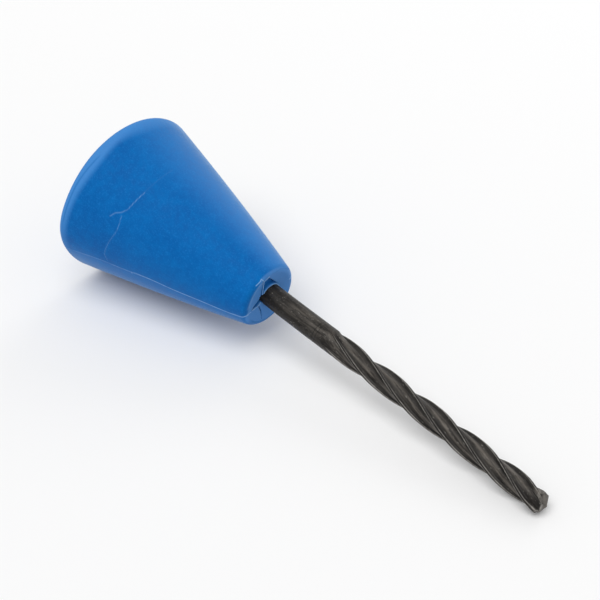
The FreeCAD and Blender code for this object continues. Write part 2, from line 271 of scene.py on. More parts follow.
def tube_mesh(name, grid, first_pole, last_pole, pose, fields, crease_angle):
    """Closed mesh of a grid of points in its own frame, carried to its place by the pose.

    A point is rotation * point + origin, and none goes under the floor. A field has one value or
    one vector for each point of the grid, and its mean over the end row at a pole.
    """
    rows, columns, _ = grid.shape
    rotation, origin = pose
    points = np.concatenate([grid.reshape(-1, 3), [first_pole, last_pole]]) @ rotation.T + origin
    points[:, 2] = np.maximum(points[:, 2], 0.0)
    quads, fans = tube_faces(rows, columns)
    corners = np.concatenate([quads.ravel(), fans.ravel()])
    starts = np.concatenate([np.arange(len(quads)) * 4,
                             len(quads) * 4 + np.arange(len(fans)) * 3])
    mesh = bpy.data.meshes.new(name)
    mesh.vertices.add(len(points))
    mesh.vertices.foreach_set("co", (points * MM).ravel())
    mesh.loops.add(len(corners))
    mesh.loops.foreach_set("vertex_index", corners.astype(np.int32))
    mesh.polygons.add(len(starts))
    mesh.polygons.foreach_set("loop_start", starts.astype(np.int32))
    mesh.update(calc_edges=True)
    mesh.validate()
    mesh.polygons.foreach_set("use_smooth", np.ones(len(mesh.polygons), dtype=bool))
    mesh.set_sharp_from_angle(angle=crease_angle)
    for label, values in fields.items():
        kind, key = ("FLOAT_VECTOR", "vector") if values.ndim == 3 else ("FLOAT", "value")
        at_poles = values[[0, -1]].mean(axis=1).reshape(2, -1)
        at_points = np.concatenate([values.reshape(rows * columns, -1), at_poles])
        mesh.attributes.new(label, kind, "POINT").data.foreach_set(key, at_points.ravel())
    return mesh


def add_piece(name, mesh, node, material):
    """Object of the mesh at the origin, which takes the place of a CAD node."""
    piece = bpy.data.objects.new(name, mesh)
    bpy.context.scene.collection.objects.link(piece)
    mesh.materials.append(material)
    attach(piece, "root")
    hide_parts(node)


# The moulded cone

CONE_COLUMNS = 590
BORE_RADIUS = 4.02
# how far the bent shank carries the mouth aside, as (up, toward the near side)
MOUTH_ASIDE = (-0.39, 0.48)
MOUTH = (BORE_RISE + MOUTH_ASIDE[0], MOUTH_ASIDE[1] - BORE_SHIFT)
# how far the wide rim bulges on its near side, at how many degrees, and how wide and how high
RIM_BULGE = 1.15
RIM_BULGE_ANGLE = 92.0
RIM_BULGE_WIDTH = 22.0
RIM_BULGE_HEIGHT = 22.0

# Marks on the flank. Angles are in degrees from straight up toward the near side.
PARTING_ANGLE = 105.0
PARTING_WIDTH = 0.17
PARTING_RELIEF = 0.05
NICK_ANGLE = 105.8
NICK_HEIGHT = 28.9
NICK_WIDTH = 0.25
GROOVE_DEPTH = 0.05
GROOVE_WIDTH = 0.26
# where they lie round the cone, each as start, rise, end and fall
GROOVE_SPAN = (27.0, 10.0, 95.0, 20.0)
PALE_BAND = (-110.0, 60.0, 125.0, 50.0)
# the far side gets a painted sheen: a paler colour where light would fall
FAR_SIDE = (-125.0, 50.0, 20.0, 55.0)
# the underside gets painted shade: a deeper colour where light would not reach
UNDERSIDE = (116.0, 24.0, 265.0, 40.0)
SMALLER_FACE = (20.0, 25.0, 115.0, 25.0)
# the radius at which the creases are unrolled, and each: (height, angle) along it, width,
# depth and paleness
CREASE_RADIUS = 24.6
CREASES = (
    ([(23.8, 32.0), (22.9, 45.0), (22.4, 50.6), (21.0, 55.0), (19.2, 57.8), (17.9, 62.2)],
     0.13, 0.1, 0.38),
    ([(21.6, 57.0), (22.1, 66.0), (21.8, 72.2), (20.2, 82.0), (19.0, 91.0), (18.5, 97.0),
      (19.3, 103.0)], 0.12, 0.05, 0.22),
    ([(24.0, 2.0), (24.1, 12.0), (23.8, 32.0)], 0.16, 0.02, 0.05),
)

# The torn mouth, as points in the flat nose: up from the cone's axis, and to the near side
GAP = [(0.6, -0.7), (2.9, 2.6), (2.55, 4.7), (0.8, 4.5), (-0.9, 3.4)]
CHIP = [(3.0, 3.2), (8.3, 3.1), (9.2, 0.85), (6.6, -1.5), (4.0, -3.8), (1.0, -1.0)]
SLIT = [(0.9, 1.8), (2.1, 4.3), (-0.35, 7.4), (-1.8, 8.1), (-1.3, 5.2)]
# cuts from one point to another, with the opening at each
TEAR = ((2.5, 3.93), (9.0, 3.55), (0.7, 0.4))
CRACK = ((-1.6, 4.6), (-4.8, 3.2), (0.5, 0.38))
CRACK_END = ((-4.6, 3.25), (-8.9, 2.5), (0.4, 0.1))
# lines where the stretched rubber is pale, partly with a painted highlight on the torn edges, and
# one with painted shade
FLAP = [(8.6, 6.7), (9.4, 5.6), (10.2, 4.45), (9.6, 3.9), (8.5, 3.25)]
PARTING_END = [(-3.2, 11.8), (-3.2, 11.1), (-2.7, 10.4), (-2.3, 9.7), (-2.1, 8.3)]
FOLD = [(8.0, 5.3), (6.2, 7.1), (4.4, 8.2), (2.4, 9.1), (0.2, 9.7)]
CHIP_RIM = [(8.4, 3.0), (9.3, 0.9)]
BRIM = [(9.7, 0.0), (9.8, -4.2), (8.8, -6.5), (6.3, -9.6)]
PULLED_CORNER = (9.4, 5.0)


def cone_outline(cone):
    """Rows of (radius, height): flat back, rim arc, long shallow flank arc, and nose arc, which
    ends at the flat ring.

    The flank is one arc of radius (length^2 + (wide - nose)^2) / (8 * bulge) that touches both
    smaller arcs from outside, so its centre lies at that radius less theirs from each of theirs.
    """
    length, wide, nose = cone.length / MM, cone.wide_radius / MM, cone.nose_radius / MM
    rim, top, bulge = cone.rim_rounding / MM, cone.nose_rounding / MM, cone.bulge / MM
    rim_centre = np.array([wide - rim, rim])
    nose_centre = np.array([nose, length - top])
    radius = (length ** 2 + (wide - nose) ** 2) / (8 * bulge)
    span = np.linalg.norm(nose_centre - rim_centre)
    up = (nose_centre - rim_centre) / span
    outward = np.array([up[1], -up[0]])
    along = (span ** 2 + (radius - rim) ** 2 - (radius - top) ** 2) / (2 * span)
    centre = rim_centre + up * along - outward * math.sqrt((radius - rim) ** 2 - along ** 2)
    low = math.atan2(*(rim_centre - centre)[::-1])
    high = math.atan2(*(nose_centre - centre)[::-1])
    start, end = centre[1] + radius * math.sin(low), centre[1] + radius * math.sin(high)
    # rows lie closer together where the creases and the nick are
    heights = rows_through([start, 7.5, 16.5, 25.5, 28.2, 29.6, end], [19, 3, 31, 2, 5, 13])
    flank = np.column_stack([centre[0] + np.sqrt(radius ** 2 - (heights - centre[1]) ** 2),
                             heights])
    back = np.column_stack([np.linspace(1.5, rim_centre[0], 5), np.zeros(5)])
    return np.concatenate([
        back[:-1],
        arc(rim_centre, rim, -math.pi / 2, low, 9),
        flank[1:],
        arc(nose_centre, top, high, math.pi / 2, 24)[1:],
    ])


def flank_marks(angle, height, radius):
    """Pale line strength, outward relief, dust with painted light, and painted shade of the flank's
    marks.

    The mould's parting line runs along two opposite angles and wanders by two sines of the height.
    The creases are bent lines on the unrolled flank (height up, radius * angle across). A line or a
    nick fades as a bell of the distance to it. A groove inside the rim parts off a pale band, which
    is higher and softer toward the far side, and the groove itself is darkened with painted shade.
    The far side is paler with a painted sheen, and so, a little, is the flank below the parting
    line, with painted light as if from the floor. The underside is darker with painted shade.
    """
    degrees = np.degrees(angle)
    degrees = np.where(degrees > 300.0, degrees - 360.0, degrees)
    signed = wrapped(degrees)

    wander = 1.2 * np.sin(height * 0.11 + 0.6) + 0.5 * np.sin(height * 0.31)
    parting = np.minimum(np.abs(degrees - PARTING_ANGLE - wander),
                         np.abs(degrees - PARTING_ANGLE - 180.0 + wander)) * np.pi / 180 * radius
    paleness = 0.45 + 0.45 * step((height - 27.0) / 4.0)
    paleness = paleness + 0.15 * np.sin(height * 0.9) * np.sin(height * 0.37)
    pale = bell(parting, PARTING_WIDTH) * step((height - 3.0) / 6.0) * paleness
    relief = PARTING_RELIEF * bell(parting, 0.3) * step(height / 2.0)
    for path, width, depth, strength in CREASES:
        bent = [(z, math.radians(a) * CREASE_RADIUS) for z, a in path]
        distance = distance_to_path(height, angle * CREASE_RADIUS, bent)
        pale = np.maximum(pale, strength * bell(distance, width))
        relief = relief - depth * bell(distance, 2.2 * width)
    from_nick = np.hypot(height - NICK_HEIGHT, radius * (angle - math.radians(NICK_ANGLE)))
    pale = np.maximum(pale, 0.9 * bell(from_nick, NICK_WIDTH))

    seam = 2.45 + 1.5 * step((62.0 - degrees) / 48.0)
    groove = bell(height - seam, GROOVE_WIDTH) * between(degrees, *GROOVE_SPAN)
    softer = step((22.0 - signed) / 40.0)
    band_top = 5.2 + 1.4 * bell(signed - 37.0, 24.0) + 6.0 * softer
    band = step((band_top - height) / (2.9 + 7.0 * softer))
    band = band * between(signed, *PALE_BAND)
    # painted sheen: the far side is paler where light would fall
    far_side = 0.8 * between(signed, *FAR_SIDE)
    far_side = far_side * (0.35 + 0.65 * step((height + 10.0) / 52.0))
    # painted light: the flank below the parting line is a little paler, as if lit from the floor
    below_parting = between(degrees, PARTING_ANGLE + wander, 3.0, 250.0, 60.0)
    dust_and_painted_light = np.maximum(np.maximum(band, far_side), 0.2 * below_parting)
    # painted shade: the underside and the groove are darkened
    underside = 0.75 * between(degrees, *UNDERSIDE)
    return pale, relief - GROOVE_DEPTH * groove, dust_and_painted_light, np.maximum(0.6 * groove, underside)


def torn_mouth(u, v):
    """Depth of the torn mouth under the flat nose, how pale it is there, and its painted shade.

    u points up and v to the near side. Each tear is a signed distance d to its outline, roughened a
    little, and cuts depth * step(-d / wall). A pale edge is a bell of the distance to its line:
    pale stretched rubber together with a painted highlight. The deep cuts, the slit and a line
    along the brim are darkened with painted shade. The floor of the broken-out piece rises to a
    thin lip round the shank, and the corner beside the tear is pulled up.
    """
    rough = 0.08 * ripple(u, v, 1.6)
    from_bore = np.hypot(u - MOUTH[0], v - MOUTH[1]) - BORE_RADIUS
    gap = polygon_edge(u, v, GAP) + rough
    chip = polygon_edge(u, v, CHIP) + 0.5 * rough
    slit = polygon_edge(u, v, SLIT) + 0.5 * rough
    tear = slot_edge(u, v, *TEAR) + 0.4 * rough
    crack = np.minimum(slot_edge(u, v, *CRACK) + 0.4 * rough,
                       slot_edge(u, v, *CRACK_END) + 0.3 * rough)
    inner_lip = step((from_bore - 0.16) / 0.9)
    depth = np.zeros(u.shape)
    # each cut's edge, its depth, and how wide its wall is
    for distance, deep, wall in ((gap, 3.0, 0.4), (chip, 1.4 * inner_lip, 0.25), (tear, 2.2, 0.24),
                                 (slit, 0.8, 0.22), (crack, 1.3, 0.16)):
        depth = np.maximum(depth, deep * step(-distance / wall))
    # painted shade inside the deep cuts and the slit
    painted_shade = np.maximum(step(depth / 0.6), step(0.5 - slit / 0.2))
    from_corner = np.hypot(u - PULLED_CORNER[0], v - PULLED_CORNER[1])
    depth = depth - 0.35 * bell(from_corner, 1.2) * step(tear / 0.3)

    upper_chip = np.maximum(step((u - 7.6) / 0.5) * step((v - 0.7) / 0.4), step((v - 2.4) / 0.6))
    lower_slit = step((0.6 - u) / 0.5) * step((8.2 - v) / 0.8)
    # pale edges: stretched rubber, partly a painted highlight on the torn edges
    pale = np.maximum.reduce([
        bell(chip - 0.09, 0.15) * upper_chip,
        0.85 * bell(slit - 0.08, 0.14) * lower_slit,
        0.95 * bell(distance_to_path(u, v, CHIP_RIM) - 0.06, 0.2),
        0.8 * bell(distance_to_path(u, v, FLAP), 0.13),
        0.8 * bell(distance_to_path(u, v, PARTING_END), 0.14),
        0.2 * bell(distance_to_path(u, v, FOLD), 0.5),
        0.9 * bell(from_bore - 0.12, 0.12) * step((u - 1.2) / 1.0),
    ])
    # the last value is painted shade, with a line of it along the brim
    return depth, pale, np.maximum(painted_shade, 0.35 * bell(distance_to_path(u, v, BRIM), 0.18))


def bore_rows(angle, length):
    """Rows of points down the bore and round its flat bottom, and the centre of the bottom.

    A point is mouth + radius * (cos a, sin a, 0) - depth * Z, turned by the bore's lean.
    """
    lean = bore_lean()
    mouth = np.array([MOUTH[0], MOUTH[1], length])
    bottom_centre = mouth - SEAT_DEPTH * lean[:, 2]
    depth = np.array([4.2, 6.0, 10.0, SEAT_DEPTH])[:, None, None]
    circle = np.stack([np.cos(angle), np.sin(angle), np.zeros(CONE_COLUMNS)], axis=-1) @ lean.T
    wall = mouth + BORE_RADIUS * circle - depth * lean[:, 2]
    return np.concatenate([wall, bottom_centre + circle[None]]), bottom_centre


def cone_surface(cone):
    """Grid of points of the whole moulding, its last pole, and its fields.

    The outside is its outline turned round Z: (r cos a, r sin a, z), moved out by the marks'
    relief, a slight wobble, and on the near side by a bell where the wide rim is out of round. The
    flat ring runs from the circle of the nose to the circle of the mouth, as their blend
    (1 - t) * outer + t * inner, and drops by the depth of the torn mouth. The nose face has a
    colour of its own, out to a radius that is smaller on its upper near side.
    """
    outline = cone_outline(cone)
    angle = np.arange(CONE_COLUMNS) * (2 * np.pi / CONE_COLUMNS)
    degrees = np.degrees(angle)
    length = cone.length / MM
    radius = outline[:, :1]
    height = np.repeat(outline[:, 1:], CONE_COLUMNS, axis=1)
    pale, relief, dust_and_painted_light, painted_shade = flank_marks(np.broadcast_to(angle, height.shape), height, radius)
    wobble = 0.05 * np.sin(2 * angle + 0.6) * np.sin(height * 0.06 + 0.5)
    rim_bulge = RIM_BULGE * bell(degrees - RIM_BULGE_ANGLE, RIM_BULGE_WIDTH)
    rim_bulge = rim_bulge * step((RIM_BULGE_HEIGHT - height) / 20.0) * step((radius - 10.0) / 15.0)
    moved = radius + (relief + wobble) * between(height, 0.0, 3.0, length, 3.0) + rim_bulge
    outside = np.stack([moved * np.cos(angle), moved * np.sin(angle), height], axis=-1)

    t = np.linspace(0.0, 1.0, 51)[1:, None]
    nose = outline[-1, 0]
    ring_u = (1 - t) * nose * np.cos(angle) + t * (MOUTH[0] + BORE_RADIUS * np.cos(angle))
    ring_v = (1 - t) * nose * np.sin(angle) + t * (MOUTH[1] + BORE_RADIUS * np.sin(angle))
    ring_height = np.full(ring_u.shape, length)
    plain_ring = np.zeros(ring_u.shape)
    grid = np.concatenate([outside, np.stack([ring_u, ring_v, ring_height], axis=-1)])

    near_nose = step((grid[:, :, 2] - (length - 3.4)) / 1.2)
    from_axis = np.hypot(grid[:, :, 0], grid[:, :, 1])
    face_limit = 11.5 - 1.7 * between(degrees, *SMALLER_FACE)
    face = step((face_limit - from_axis) / 0.7) * near_nose
    depth, torn_pale_and_highlight, torn_painted_shade = torn_mouth(grid[:, :, 0], grid[:, :, 1])
    grid[:, :, 2] -= depth * near_nose
    pale = np.concatenate([pale * step(height / 1.0), plain_ring])
    # pale torn edges, partly a painted highlight
    pale = np.maximum(pale, torn_pale_and_highlight * near_nose)
    # the flat back is one even colour
    beside_back = step(np.concatenate([height, ring_height]) / 1.4)
    # painted shade in the torn mouth, the groove and the underside
    painted_shade = np.maximum(torn_painted_shade * near_nose, np.concatenate([painted_shade, plain_ring]))
    painted_shade = painted_shade * beside_back
    dust_and_painted_light = np.concatenate([dust_and_painted_light, plain_ring]) * beside_back

    bore, bottom_centre = bore_rows(angle, length)
    inside = np.ones(bore.shape[:2])
    # inside the bore the colour is all painted shade
    fields = {
        "pale": np.concatenate([pale, 0.0 * inside]),
        "painted_shade": np.concatenate([painted_shade, inside]),
        "face": np.concatenate([face, inside]),
        "dust_and_painted_light": np.concatenate([dust_and_painted_light, 0.0 * inside]),
    }
    return np.concatenate([grid, bore]), bottom_centre, fields


# The fluted bit

FLUTE_LENGTH = 92.0
# radius of the cutter where the flutes run out, and how far it dips under their floor
CUTTER_RADIUS = 33.0
CUTTER_DIP = 0.05
# how much later the back, upper, near and lower flutes begin than the first of them
RUN_OUT_DELAYS = (2.0, 1.2, 0.0, 4.2)
# a flute's wall leans off the radius by so many degrees, and ends in a fillet
WALL_SLOPE = 16.0
WALL_FILLET = 0.55
# how far down the wall the worn edge of a land lies, with its painted glint
WORN_WALL_DEPTH = 0.3
# (height along the bit, degrees that the twist there is ahead of an even one)
TWIST_UNEVENNESS = [(70, -2.5), (92, -4.2), (110, -5.4), (128, -5.4), (146, -2.0), (154, 4.0),
                    (161, 13.0), (168, 18.0)]
# how far the shank is bent at the mouth, which way, and over what length it straightens
BEND = 0.62
BEND_DIRECTION = (-0.63, 0.77)
BEND_LENGTH = 60.0

POINT_HALF_ANGLE = math.radians(59.0)
# the tip's own section begins so far before the end, and is complete after so much
TIP_LENGTH = 6.8
TIP_CHANGE = 4.6
# least radius of the deeper flute, and of the others
TIP_CORE_RADIUS = 1.1
TIP_FLOOR_RADIUS = 3.1
# places round the tip in degrees, as start, rise, end and fall
DEEPER_FLUTE = (37.0, 8.0, 112.0, 6.0)
WIDE_LAND = (-18.0, 8.0, 43.0, 7.0)
GROUND_SIDE = (-105.0, 8.0, -8.0, 6.0)
LOWER_SIDE = (60.0, 40.0, 230.0, 40.0)
# the flat ground on one side: where its middle looks and how far it goes to each side, in
# degrees, and its distance from the axis
FLAT_DIRECTION = -50.5
FLAT_HALF_WIDTH = 38.0
FLAT_DISTANCE = 3.05
# share by which the point is flatter on its lower side
LOWER_FLATNESS = 0.3

RING_MARKS = (71.2, 72.4)
# the pit in the wide land, drawn only as painted shade: how far before the end, at how many
# degrees, and how wide
PIT_HEIGHT = 2.5
PIT_ANGLE = 12.0
PIT_WIDTH = 0.5


def bit_turn(bit, height):
    """Turn of the section: start + 360 degrees * (height - seat) / pitch, and the unevenness."""
    # the section starts at the middle of a flute, 45 degrees after a land
    start_turn = bit.flute_phase + math.pi / 4
    even = start_turn + (height - SEAT_DEPTH) * (2 * math.pi / (bit.flute_pitch / MM))
    return even + np.radians(np.interp(height, *np.array(TWIST_UNEVENNESS).T))


def flute_section(bit):
    """Radius and angle round one section of the fluted part, and distance to a land's worn edge,
    which carries a painted glint.

    One quarter: half a land, its edge, a straight wall that leans off the radius, a fillet, the
    round floor of core radius, and the same mirrored. The four quarters follow one another round
    the axis.
    """
    land, core = bit.radius / MM, bit.core_radius / MM
    half_land = math.degrees(bit.land_width / MM / 2 / land)
    half_opening = math.radians(45.0 - half_land)
    direction = half_opening + math.pi + math.radians(WALL_SLOPE)
    inward = np.array([math.cos(direction), math.sin(direction)])
    into_flute = np.array([-inward[1], inward[0]])
    edge = land * np.array([math.cos(half_opening), math.sin(half_opening)])
    offset_edge = edge + into_flute * WALL_FILLET
    along = offset_edge @ inward
    run = -along - math.sqrt(along ** 2 - offset_edge @ offset_edge + (core + WALL_FILLET) ** 2)
    wall_foot = edge + inward * run
    centre = offset_edge + inward * run
    floor_end = centre * core / (core + WALL_FILLET)
    start = math.atan2(*(floor_end - centre)[::-1])
    end = math.atan2(*(wall_foot - centre)[::-1])
    sweep = (end - start + math.pi) % (2 * math.pi) - math.pi
    floor_angle = math.atan2(floor_end[1], floor_end[0])
    floor = arc((0, 0), core, 0.0, floor_angle, 11)
    fillet = arc(centre, WALL_FILLET, start, start + sweep, 7)
    wall = edge + np.linspace(1.0, 0.0, 11)[:, None] * (wall_foot - edge)
    top = arc((0, 0), land, half_opening, math.radians(45.0), 5)
    half = np.concatenate([floor[:-1], fillet[:-1], wall, top[1:]])
    mirrored = half[1:-1][::-1] * [1.0, -1.0]
    mirrored = mirrored @ np.array([[0.0, 1.0], [-1.0, 0.0]])
    quarter = np.concatenate([half, mirrored])
    radius = np.hypot(quarter[:, 0], quarter[:, 1])
    angle = np.arctan2(quarter[:, 1], quarter[:, 0])
    worn_edge = edge + inward * WORN_WALL_DEPTH
    from_edge = np.minimum(np.hypot(*(quarter - worn_edge).T), np.hypot(*(quarter - edge[::-1]).T))
    turns = np.arange(4)[:, None] * (np.pi / 2)
    return np.tile(radius, 4), (angle[None] + turns).ravel(), np.tile(from_edge, 4)


def bit_columns(bit):
    """What belongs to each column of the bit's grid, as arrays round the section.

    The section at the tip depends on where a column looks there: one flute is deeper, one land is
    wider, and one side is ground to a flat, distance / cos(angle off its middle). The point is a
    cone, which a column meets at length - radius / tan(half angle), and it is flatter on its lower
    side, so that the lower corner reaches further.
    """
    length, land, core = bit.length / MM, bit.radius / MM, bit.core_radius / MM
    section, round_angle, from_edge = flute_section(bit)
    toward = wrapped(np.degrees(round_angle + bit_turn(bit, length - 1.5)))
    deeper = between(toward, *DEEPER_FLUTE)
    at_tip = deeper * (land - (land - section) * (land - TIP_CORE_RADIUS) / (land - core))
    at_tip += (1 - deeper) * np.maximum(section, TIP_FLOOR_RADIUS)
    wide_land = between(toward, *WIDE_LAND)
    at_tip += (land - at_tip) * wide_land
    ground = between(toward, *GROUND_SIDE)
    off_middle = np.clip(toward - FLAT_DIRECTION, -FLAT_HALF_WIDTH, FLAT_HALF_WIDTH)
    at_tip += (FLAT_DISTANCE / np.cos(np.radians(off_middle)) - at_tip) * ground
    flatter = LOWER_FLATNESS * between(toward % 360.0, *LOWER_SIDE)
    point_rise = (1 - flatter) / math.tan(POINT_HALF_ANGLE)
    delay = np.array(RUN_OUT_DELAYS)[np.round(round_angle / (np.pi / 2)).astype(int) % 4]
    return SimpleNamespace(
        section=section, round_angle=round_angle, from_edge=from_edge, at_tip=at_tip,
        wide_land=wide_land, ground=ground, point_rise=point_rise,
        meets_cone=length - at_tip * point_rise, delay=delay)


def bit_surface(bit):
    """Grid of points of the bit, and its fields.

    Round the shank the radius is constant. Along the flutes the section turns with the height, and
    its radius is at least that of the run-out, an arc of the cutter's radius, which begins later on
    some flutes. Near the end it changes into the tip's section. Each column climbs to where it
    meets the ground point, and then goes straight to its apex. The shank end is bent aside by
    bend * (1 - step of the height past the mouth).
    """
    length, land = bit.length / MM, bit.radius / MM
    columns = bit_columns(bit)
    first = length - FLUTE_LENGTH
    low_radius = bit.core_radius / MM - CUTTER_DIP
    run_out = math.sqrt(CUTTER_RADIUS ** 2 - (low_radius + CUTTER_RADIUS - land) ** 2)

    # rows lie closer together round the ring marks
    even_rows = np.concatenate([
        [0.0], np.linspace(0.4, 46.0, 6), np.arange(46.5, 70.6, 0.6), np.arange(70.7, 73.0, 0.1),
        np.arange(73.2, first, 0.6), np.linspace(first, first + run_out, 44)])
    share = np.linspace(0.0, 1.0, 250)[1:, None]
    height = np.concatenate([
        np.repeat(even_rows[:, None], len(columns.section), axis=1),
        (1 - share) * even_rows[-1] + share * columns.meets_cone])
    ramp = np.clip(first + run_out + columns.delay - height, 0.0, run_out)
    run_out_radius = low_radius + CUTTER_RADIUS - np.sqrt(CUTTER_RADIUS ** 2 - ramp ** 2)
    near_tip = step((height - (length - TIP_LENGTH)) / TIP_CHANGE)
    radius = columns.section + (columns.at_tip - columns.section) * near_tip
    radius = np.maximum(radius, np.where(height <= first, land, run_out_radius))

    share = np.linspace(0.0, 1.0, 14)[1:-1, None] ** 1.2
    point_radius = columns.at_tip * (1 - share)
    height = np.concatenate([height, length - point_radius * columns.point_rise])
    radius = np.concatenate([radius, point_radius])
    near_tip = np.concatenate([near_tip, np.ones(point_radius.shape)])

    # the twist ends where the point begins
    angle = columns.round_angle + bit_turn(bit, np.minimum(height, columns.meets_cone))
    flex = BEND * (1 - step((height - SEAT_DEPTH) / BEND_LENGTH))
    grid = np.stack([radius * np.cos(angle) + BEND_DIRECTION[0] * flex,
                     radius * np.sin(angle) + BEND_DIRECTION[1] * flex, height], axis=-1)
    fluted_angle = columns.round_angle + bit_turn(bit, first)
    flat_angle = np.where(height < first, angle, fluted_angle)
    untwisted = np.stack([radius * np.cos(flat_angle), radius * np.sin(flat_angle), height],
                         axis=-1) * MM
    finish = bit_finish(bit, columns, height, angle, near_tip, len(point_radius))
    return grid, {"untwisted": untwisted, **finish}


def bit_finish(bit, columns, height, angle, near_tip, point_rows):
    """Fields of the bit's finish: bare edges with a painted glint, dark lands, rubbed places with
    painted highlights, and rings with the pit.

    The steel is bare in a bell round each land's worn edge and the edge of the point, worn and
    partly a painted glint. The middles of the flutes and the shank's upper side are paler with a
    painted highlight, and the tip's wide land and ground side and the point are rubbed paler. The
    ring marks and the pit are dark bells round their places; the pit has no depth, so its dark
    bell is painted shade.
    """
    length, land = bit.length / MM, bit.radius / MM
    fluted = step((height - (length - FLUTE_LENGTH) - 1.0) / 5.0)
    # bare edges: partly worn, partly a painted glint
    worn = bell(columns.from_edge, 0.1) * fluted
    point_edge = bell(height - columns.meets_cone, 0.22) * (1 - 0.6 * columns.wide_land)
    worn = np.maximum(worn, 0.8 * point_edge)
    worn[-point_rows:] = 0.18

    land_top = (columns.section > land - 0.01) * fluted
    tip_land = np.maximum(columns.wide_land, 0.35 * columns.ground) * near_tip
    # painted highlight along the middles of the flutes; the tip's wide land and ground side are
    # rubbed paler
    from_middle = (np.degrees(columns.round_angle) + 45.0) % 90.0 - 45.0
    rubbed_and_highlight = bell(from_middle, 19.0) * fluted * (1 - near_tip)
    rubbed_and_highlight = np.maximum(rubbed_and_highlight, 1.2 * tip_land)
    # painted highlight on the shank's upper side
    upper_shank = bell(wrapped(np.degrees(angle) - 20.0), 45.0) * (1 - fluted)
    upper_shank = upper_shank * step((height - SEAT_DEPTH - 6.0) / 8.0)
    rubbed_and_highlight = np.maximum(rubbed_and_highlight, 0.55 * upper_shank)
    rubbed_and_highlight[-point_rows:] = 0.8

    ring = 0.6 * sum(bell(height - mark, 0.16) for mark in RING_MARKS)
    # the pit has no depth: its dark bell is painted shade
    across = wrapped(np.degrees(angle) - PIT_ANGLE) * math.radians(land)
    pit = bell(np.hypot(height - (length - PIT_HEIGHT), across), PIT_WIDTH)
    worn = np.maximum(worn, 0.22 * columns.wide_land * near_tip) * (1 - pit)
    return {"worn": worn, "land": land_top * (1 - tip_land), "rubbed_and_highlight": rubbed_and_highlight,
            "ring": np.maximum(ring, pit)}


# Materials

# tones that the finishes mix in beside those of the settings
GRAIN_BLUE = (0.013, 0.195, 0.56)
# dust, with a painted sheen and painted light from the floor
DUST_AND_PAINTED_LIGHT_BLUE = (0.09, 0.31, 0.71)
FACE_BLUE = (0.08, 0.25, 0.6)
# painted shade
PAINTED_SHADE_BLUE = (0.0, 0.11, 0.37)
SHEEN_BLUE = (0.72, 0.88, 1.0, 1.0)
STREAK_BROWN = (0.036, 0.033, 0.03)
MOTTLE_BROWN = (0.06, 0.054, 0.048)
# rubbed places and painted highlights
RUBBED_AND_HIGHLIGHT_BROWN = (0.115, 0.102, 0.088)
SPECK_GREY = (0.2, 0.19, 0.17)
LAND_BLACK = (0.014, 0.0125, 0.0115)
RING_BLACK = (0.006, 0.006, 0.006)
WHITE = (1.0, 1.0, 1.0, 1.0)
# how much the floor is lifted where it is seen
FLOOR_LIFT = 0.04


def new_material(name):
    """Material with nodes, its node tree and its shader."""
    material = bpy.data.materials.new(name)
    material.use_nodes = True
    tree = material.node_tree
    return material, tree, tree.nodes["Principled BSDF"]


def object_place(tree):
    """The place of a point in its object."""
    return tree.nodes.new("ShaderNodeTexCoord").outputs["Object"]


def field(tree, label, output="Fac"):
    """A field of the mesh."""
    node = tree.nodes.new("ShaderNodeAttribute")
    node.attribute_name = label
    return node.outputs[output]


def noise(tree, vector, scale, detail, roughness, stretch=(1.0, 1.0, 1.0)):
    """Noise from 0 to 1, drawn out along an axis where its stretch is below 1."""
    mapping = tree.nodes.new("ShaderNodeMapping")
    mapping.inputs["Scale"].default_value = stretch
    tree.links.new(vector, mapping.inputs["Vector"])
    node = tree.nodes.new("ShaderNodeTexNoise")
    node.inputs["Scale"].default_value = scale
    node.inputs["Detail"].default_value = detail
    node.inputs["Roughness"].default_value = roughness
    tree.links.new(mapping.outputs["Vector"], node.inputs["Vector"])
    return node.outputs["Fac"]


def spread(tree, value, low, high, to_low=0.0, to_high=1.0):
    """Smooth step of the value from low to high, carried to the range to_low to to_high."""
    node = tree.nodes.new("ShaderNodeMapRange")
    node.interpolation_type = "SMOOTHSTEP"
    node.inputs["From Min"].default_value = low
    node.inputs["From Max"].default_value = high
    node.inputs["To Min"].default_value = to_low
    node.inputs["To Max"].default_value = to_high
    tree.links.new(value, node.inputs["Value"])
    return node.outputs["Result"]


def combine(tree, operation, first, second):
    """Result of the operation on two sockets or numbers."""
    node = tree.nodes.new("ShaderNodeMath")
    node.operation = operation
    for socket, value in zip(node.inputs, (first, second)):
        if isinstance(value, float):
            socket.default_value = value
        else:
            tree.links.new(value, socket)
    return node.outputs["Value"]


def tint(tree, colour, tone, share):
    """The colour, mixed toward the tone by a share that changes over the surface."""
    node = tree.nodes.new("ShaderNodeMix")
    node.data_type = "RGBA"
    tree.links.new(share, node.inputs[0])
    for socket, value in ((node.inputs[6], colour), (node.inputs[7], tone)):
        if isinstance(value, bpy.types.NodeSocket):
            tree.links.new(value, socket)
        else:
            socket.default_value = (*value, 1.0)
    return node.outputs[2]


def tint_field(tree, colour, tone, label, strength):
    """The colour, mixed toward the tone by strength times a field of the mesh."""
    return tint(tree, colour, tone, combine(tree, "MULTIPLY", field(tree, label), strength))


def add_bump(tree, shader, height, strength, distance):
    """Tilt the shader's normals as if the height, times distance in metres, stood out."""
    node = tree.nodes.new("ShaderNodeBump")
    node.inputs["Strength"].default_value = strength
    node.inputs["Distance"].default_value = distance
    tree.links.new(height, node.inputs["Height"])
    tree.links.new(node.outputs["Normal"], shader.inputs["Normal"])


